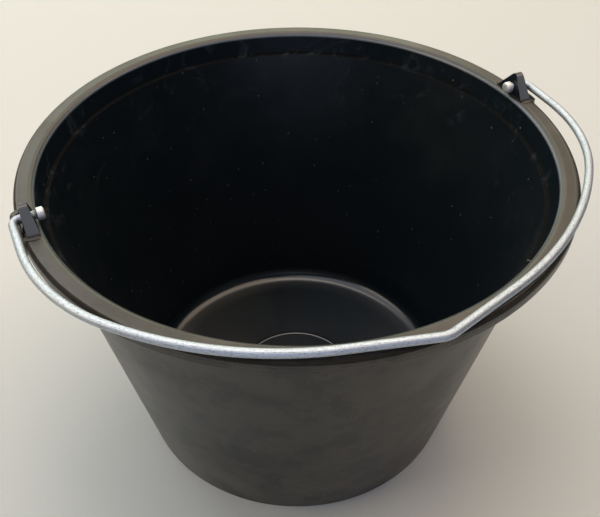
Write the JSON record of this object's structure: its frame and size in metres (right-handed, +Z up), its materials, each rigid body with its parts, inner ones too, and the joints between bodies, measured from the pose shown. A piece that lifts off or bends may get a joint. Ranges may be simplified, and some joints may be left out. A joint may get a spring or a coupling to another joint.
{
  "type": "mortar mixing tub",
  "caption": "Round tapered moulded plastic tub with a turned-down rim and two rim lugs that carry a folding wire bail.",
  "frame": {"origin": "on the ground, at the middle of the tub's foot ring", "axes": "+Z up; X along the bail's pivot; the bail rests folded forward, towards -Y"},
  "size_m": [0.3491, 0.3439, 0.23],
  "materials": {
    "tub_plastic": "satin moulded black polyethylene",
    "galvanised_wire": "drawn galvanised wire"
  },
  "bodies": {
    "tub": {"tub": "tub_plastic"},
    "bail": {"bail": "galvanised_wire"}
  },
  "joints": [
    {"name": "bail_pivot", "type": "hinge", "parent": "tub", "child": "bail", "pos_m": [0, 0, 0.2208], "axis": [-1, 0, 0], "range_deg": [0, 181]}
  ]
}
